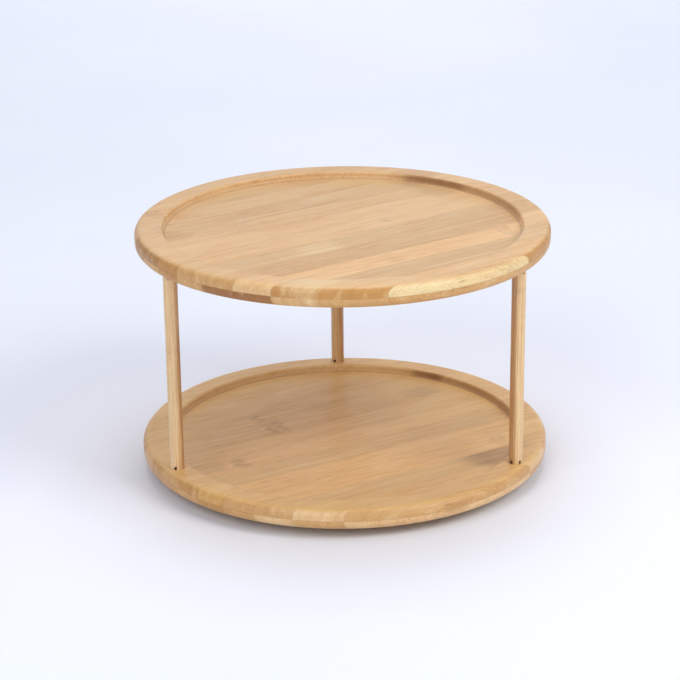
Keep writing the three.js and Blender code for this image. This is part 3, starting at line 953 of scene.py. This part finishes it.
def upper_race(material):
    hole = EYELET_RADIUS + EYELET_PLAY
    points = outline(
        [
            (hole, UPPER_HUB_Z, 0.2),
            (HUB_EDGE, UPPER_HUB_Z, 1.5),
            (PAD_INNER, UPPER_PAD_Z, 0.8),
            (PAD_OUTER, UPPER_PAD_Z, 0.8),
            (RACE_EDGE, UPPER_RACE_Z, 1.5),
            *groove(UPPER_RACE_Z, GROOVE_DEPTH, 1, 0, 0.8),
            (UPPER_PLATE_RADIUS, UPPER_RACE_Z, 0.3),
            (UPPER_PLATE_RADIUS, UPPER_RACE_Z + SHEET, 0.3),
            *groove(UPPER_RACE_Z + SHEET, UPPER_GROOVE_RISE, -1, SHEET / 2, 1.2),
            (RACE_EDGE, UPPER_RACE_Z + SHEET, 0.8),
            (PAD_OUTER, UPPER_PAD_Z + SHEET, 1.5),
            (PAD_INNER, UPPER_PAD_Z + SHEET, 1.5),
            (HUB_EDGE, UPPER_HUB_Z + SHEET, 0.8),
            (hole, UPPER_HUB_Z + SHEET, 0.2),
        ]
    )
    piece = lathe("upper_race", points, PLATE_SIDES, ring=True)
    holes = []
    for azimuth in even_azimuths(SCREW_COUNT):
        hole_cutter = rod(SCREW_SHANK_RADIUS + SCREW_PLAY, 0, 2 * UPPER_PAD_Z, SMALL_SIDES)
        holes.append(shifted(hole_cutter, on_circle(SCREW_CIRCLE_RADIUS, azimuth)))
    carve(piece, joined(holes))
    place(piece, "turntable", "upper_race_plate", material)


def plain_ring(name, inner, outer, start, end, rounding, sides):
    corners = [(inner, start), (outer, start), (outer, end), (inner, end)]
    return lathe(name, outline([(*corner, rounding) for corner in corners]), sides, ring=True)


def cage(material):
    inner = RACE_RADIUS - CAGE_HALF_WIDTH
    outer = RACE_RADIUS + CAGE_HALF_WIDTH
    start = low("ball_cage").z
    end = high("ball_cage").z
    piece = plain_ring("cage_ring", inner, outer, start, end, 0.2, PLATE_SIDES)
    pockets = []
    for azimuth in even_azimuths(BALL_COUNT):
        pocket = rod(BALL_RADIUS + CAGE_POCKET_PLAY, start - 1, end + 1, SMALL_SIDES)
        pockets.append(shifted(pocket, on_circle(RACE_RADIUS, azimuth)))
    carve(piece, joined(pockets))
    place(piece, "cage", "ball_cage", material)


def ball(number, azimuth, material):
    """A ball turned about its rolling axis, with how near each point is to its rolled track."""
    angles = [math.pi * (row / BALL_ROWS - 0.5) for row in range(BALL_ROWS + 1)]
    points = [(BALL_RADIUS * max(0.0, math.cos(a)), BALL_RADIUS * math.sin(a)) for a in angles]
    points[0] = (0, -BALL_RADIUS)
    points[-1] = (0, BALL_RADIUS)
    piece = lathe(f"bearing_ball_{number:02d}", points, BALL_SIDES)
    track = piece.data.attributes.new("track", "FLOAT", "POINT")
    nearness = [math.exp(-((v.co.z / MM / BALL_TRACK_HALF) ** 2)) for v in piece.data.vertices]
    track.data.foreach_set("value", nearness)
    node = f"ball_{number:02d}"
    spin = Vector((0, 0, 1)).rotation_difference(on_circle(1, azimuth))
    moved(piece, Matrix.Translation(middle(node)) @ spin.to_matrix().to_4x4())
    place(piece, f"rolling_{node}", node, material)


def eyelet(material):
    start = low("centre_eyelet").z
    end = high("centre_eyelet").z
    upper_flange = end - EYELET_FLANGE_HEIGHT
    points = outline(
        [
            (EYELET_BORE_RADIUS, start, 0.7),
            (EYELET_FLANGE_RADIUS, start, 0.4),
            (EYELET_FLANGE_RADIUS, start + EYELET_FLANGE_HEIGHT, 0.2),
            (EYELET_RADIUS, start + EYELET_FLANGE_HEIGHT, 0.1),
            (EYELET_RADIUS, upper_flange, 0.1),
            (EYELET_FLANGE_RADIUS, upper_flange, 0.2),
            (EYELET_FLANGE_RADIUS, end, 0.4),
            (EYELET_BORE_RADIUS, end, 0.7),
        ]
    )
    piece = lathe("eyelet_tube", points, HUB_SIDES, ring=True)
    place(piece, "base", "centre_eyelet", material)


def hub_ring(material):
    start = low("hub_washer").z
    end = high("hub_washer").z
    inner = EYELET_RADIUS + EYELET_PLAY
    piece = plain_ring("hub_ring", inner, WASHER_RADIUS, start, end, 0.3, HUB_SIDES)
    place(piece, "base", "hub_washer", material)


def thread(radius, height, angle):
    """The radius of a wood screw's shank, with one sharp thread wound round a thinner core."""
    if height < SCREW_THREAD_START:
        return radius
    phase = (height / SCREW_THREAD_PITCH - angle / (2 * math.pi)) % 1.0
    crest = max(0.0, 1 - abs(phase - 0.5) / SCREW_CREST_SHARE)
    core = SCREW_CORE_SHARE * radius
    return core + (radius - core) * crest


def cross_bar(turn):
    """Half of the cross recess: a bar that narrows as it goes in."""
    # The bar's height, half length and half width, just outside the head and at the recess floor.
    levels = [
        (-SCREW_HEAD_HEIGHT - 0.5, 2.0, 0.5),
        (-SCREW_HEAD_HEIGHT + 1.0, 0.9, 0.3),
    ]
    vertices = []
    for z, length, width in levels:
        vertices += [(-length, -width, z), (length, -width, z), (length, width, z), (-length, width, z)]
    faces = [(3, 2, 1, 0), (4, 5, 6, 7)]
    faces += [(i, (i + 1) % 4, (i + 1) % 4 + 4, i + 4) for i in range(4)]
    return moved(piece_from("cutter", vertices, faces), Matrix.Rotation(math.radians(turn), 4, "Z"))


def screw(number, azimuth, material):
    head = outline(
        [
            (0, -SCREW_HEAD_HEIGHT),
            (SCREW_HEAD_RADIUS, -SCREW_HEAD_HEIGHT, 1.3),
            (SCREW_HEAD_RADIUS, 0, 0.12),
            (SCREW_SHANK_RADIUS, 0),
        ]
    )
    shank = []
    for row in range(1, SCREW_ROWS):
        z = SCREW_LENGTH * row / SCREW_ROWS
        taper = min(1.0, (SCREW_LENGTH - z) / SCREW_TIP_LENGTH)
        shank.append((SCREW_SHANK_RADIUS * taper, z))
    points = [*head, *shank, (0, SCREW_LENGTH)]
    piece = lathe(f"wood_screw_{number}", points, SCREW_SIDES, shape=thread)
    carve(piece, cross_bar(0), cross_bar(90))
    spot = on_circle(SCREW_CIRCLE_RADIUS, azimuth, UPPER_PAD_Z)
    moved(piece, Matrix.Translation(spot) @ Matrix.Rotation(math.radians(azimuth), 4, "Z"))
    place(piece, "turntable", f"plate_screw_{number}", material)


def foot(number, azimuth, material):
    top = high("rubber_foot_1").z
    points = outline(
        [
            (0, FOOT_DISH_DEPTH),
            (FOOT_DISH_RADIUS, FOOT_DISH_DEPTH, 0.2),
            (FOOT_DISH_RADIUS + FOOT_DISH_DEPTH, 0, 0.2),
            (FOOT_GROOVE_INNER, 0, 0.15),
            (FOOT_GROOVE_INNER + FOOT_GROOVE_SLOPE, FOOT_GROOVE_DEPTH, 0.1),
            (FOOT_GROOVE_OUTER - FOOT_GROOVE_SLOPE, FOOT_GROOVE_DEPTH, 0.1),
            (FOOT_GROOVE_OUTER, 0, 0.15),
            (FOOT_TOE_RADIUS, 0, 0.4),
            (FOOT_RADIUS, LOWER_PLATE_Z / 3, 0.5),
            (FOOT_RADIUS, LOWER_PLATE_Z, 0.35),
            (FOOT_STEM_RADIUS, LOWER_PLATE_Z, 0.1),
            (FOOT_STEM_RADIUS, LOWER_PLATE_Z + SHEET, 0.1),
            (FOOT_BARB_RADIUS, LOWER_PLATE_Z + SHEET, 0.3),
            (FOOT_BARB_TIP_RADIUS, top, 0.5),
            (0, top),
        ]
    )
    piece = lathe(f"foot_{number}", points, FOOT_SIDES)
    shifted(piece, on_circle(FOOT_CIRCLE_RADIUS, azimuth))
    place(piece, "base", f"rubber_foot_{number}", material)


# ---------------------------------------------------------------- assembly


def build_object():
    board("upper_board", "upper_tray", 1, UPPER_BOARD)
    board("lower_board", "lower_tray", -1, LOWER_BOARD, screw_pilots())
    for name, facts in POSTS.items():
        post(name, facts)
    blued = (paint(120, 98, 78), paint(70, 54, 42))
    brads(steel_material("brad_steel", *blued, polish=0.35, grain_scale=1.5, depth=0.02))

    plated = (paint(206, 208, 210), paint(168, 170, 176))
    zinc = steel_material("zinc_steel", *plated, polish=0.26, grain_scale=0.8, depth=0.015)
    upper_race(zinc)
    lower_race(zinc)
    eyelet(zinc)
    yellowed = (paint(212, 206, 188), paint(170, 162, 142))
    screw_steel = steel_material("screw_steel", *yellowed, polish=0.22, grain_scale=1.4, depth=0.012)
    for number, azimuth in enumerate(even_azimuths(SCREW_COUNT), 1):
        screw(number, azimuth, screw_steel)
    ball_steel = ball_material()
    for number, azimuth in enumerate(even_azimuths(BALL_COUNT), 1):
        ball(number, azimuth, ball_steel)
    nylon = nylon_material()
    cage(nylon)
    hub_ring(nylon)
    rubber = rubber_material()
    for number, azimuth in enumerate(even_azimuths(FOOT_COUNT), 1):
        foot(number, azimuth, rubber)


# ---------------------------------------------------------------- studio

FLOOR_RADIUS = 2000
WALL_ROUND = 1500
WALL_HEIGHT = 3200
STUDIO_SIDES = 128


def studio_material():
    """Matt pale paper, open from behind so that the underside can be looked at."""
    look = Look("studio_paper", Roughness=0.85)
    points = look.coordinates()
    wide = look.noise(points, scale=0.002, detail=2)
    fine = look.noise(points, scale=0.4, detail=2)
    mottle = look.add(look.times(wide, 0.7), look.times(fine, 0.3))
    colour = look.mix(look.level(mottle, 0.35, 0.65), paint(240, 243, 253), paint(244, 247, 255))
    look.set("Base Color", colour)
    clear = look.node("BsdfTransparent")
    either = look.node("MixShader")
    look.feed(either.inputs[0], look.node("NewGeometry").outputs["Backfacing"])
    look.feed(either.inputs[1], look.shader.outputs[0])
    look.feed(either.inputs[2], clear.outputs[0])
    look.feed(look.tree.nodes["Material Output"].inputs["Surface"], either.outputs[0])
    return look.material


def studio():
    """A round floor that curves up into a wall all the way round."""
    wall = FLOOR_RADIUS + WALL_ROUND
    corners = [(wall, WALL_HEIGHT), (wall, 0, WALL_ROUND), (FLOOR_RADIUS / 2, 0), (0, 0)]
    paper = lathe("studio_floor", outline(corners), STUDIO_SIDES)
    smooth(paper)
    paper.data.materials.append(studio_material())


def softbox(name, spot, size, power, colour, aim=(0, 0, 90)):
    """A square area light, aimed at the middle of the object unless it is told otherwise."""
    light = bpy.data.lights.new(name, "AREA")
    light.size = size * MM
    light.energy = power
    light.color = colour
    lamp = bpy.data.objects.new(name, light)
    lamp.location = Vector(spot) * MM
    lamp.rotation_mode = "QUATERNION"
    lamp.rotation_quaternion = (Vector(aim) - Vector(spot)).to_track_quat("-Z", "Y")
    lamp.visible_camera = False
    bpy.context.scene.collection.objects.link(lamp)
    return lamp


def sky(strength, colour):
    world = bpy.data.worlds.new("studio_world")
    world.use_nodes = True
    background = world.node_tree.nodes["Background"]
    background.inputs["Color"].default_value = (*colour, 1.0)
    background.inputs["Strength"].default_value = strength
    bpy.context.scene.world = world


def lights():
    """A dim sky and four softboxes, each with its name, place, width, power in watts and colour."""
    sky(0.31, (0.93, 0.955, 1.0))
    softbox("key", (1350, -950, 1500), 1000, 19, (1.0, 0.985, 0.955))
    softbox("front_fill", (-700, -1500, 1350), 1100, 12, (0.98, 0.985, 1.0))
    softbox("top", (0, 500, 2200), 1500, 15, (0.985, 0.99, 1.0))
    backdrop = softbox("backdrop", (0, 2300, 1200), 1500, 10, (0.98, 0.985, 1.0), aim=(0, 2000, 0))
    backdrop.visible_glossy = False


# The camera was fitted to the outlines of both boards in the photo. It stands at its distance and pitch
# from the pivot, looks at the aim, and is rolled about its own axis.
CAMERA_PIVOT = (0, 0, 94)
CAMERA_AIM = (-2.7, 0, 92.4)
CAMERA_DISTANCE = 1589.9
CAMERA_PITCH = 20.244
CAMERA_ROLL = -0.614
CAMERA_LENS = 114.34
CAMERA_SENSOR = 36


def camera():
    pitch = math.radians(CAMERA_PITCH)
    data = bpy.data.cameras.new("camera")
    data.lens = CAMERA_LENS
    data.sensor_width = CAMERA_SENSOR
    viewer = bpy.data.objects.new("camera", data)
    back = Vector((0, -math.cos(pitch), math.sin(pitch)))
    viewer.location = (Vector(CAMERA_PIVOT) + back * CAMERA_DISTANCE) * MM
    aim = Vector(CAMERA_AIM) * MM - viewer.location
    turn = aim.to_track_quat("-Z", "Y").to_matrix().to_4x4()
    roll = Matrix.Rotation(math.radians(CAMERA_ROLL), 4, "Z")
    viewer.rotation_mode = "QUATERNION"
    viewer.rotation_quaternion = (turn @ roll).to_quaternion()
    bpy.context.scene.collection.objects.link(viewer)
    bpy.context.scene.camera = viewer


camera()
build_object()
studio()
lights()
bpy.context.scene.view_settings.view_transform = "Standard"
